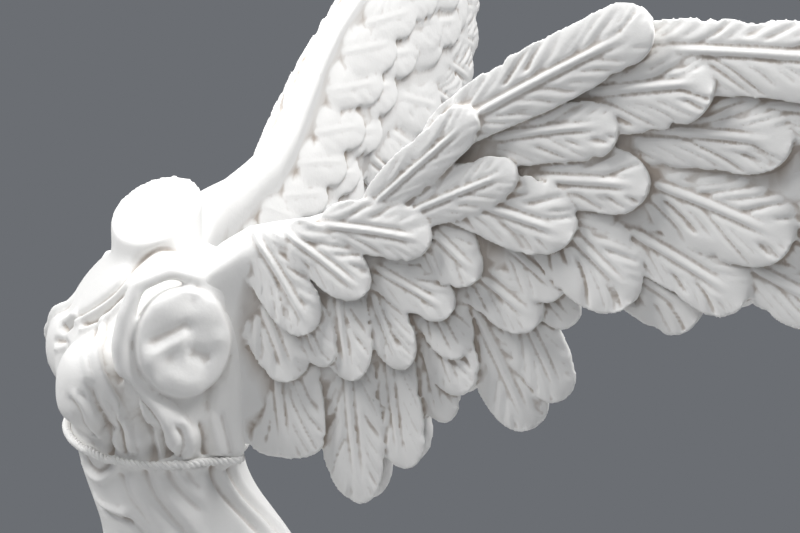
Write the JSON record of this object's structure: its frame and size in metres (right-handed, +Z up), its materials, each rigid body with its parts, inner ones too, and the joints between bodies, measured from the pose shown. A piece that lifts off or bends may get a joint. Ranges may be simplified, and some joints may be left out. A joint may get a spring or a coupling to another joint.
{
  "type": "winged figurine",
  "caption": "Headless winged draped figure in white cast resin on a stepped plinth, made to stand on a shelf or table as an ornament.",
  "frame": {"origin": "centre of the felt pad's lower face, where the figurine rests on a table", "axes": "+Z up; the figure faces -Y; +X is the figure's own left; the wings sweep back towards +Y"},
  "size_m": [0.2302, 0.1436, 0.2786],
  "materials": {
    "resin": "matte white cast resin with a thin beige-grey wash in the recesses",
    "plinth_resin": "matte white cast resin, slightly worn on its edges",
    "steel": "ground, bright",
    "brass": "turned",
    "felt": "pressed felt"
  },
  "bodies": {
    "root": {"figure_casting": "resin", "left_wing": "resin", "right_wing": "resin", "left_wing_dowels": "steel", "right_wing_dowels": "steel", "plinth": "plinth_resin", "felt_pad": "felt", "base_screw": "steel", "base_washer": "steel", "threaded_insert": "brass", "locating_peg": "steel"}
  },
  "joints": []
}
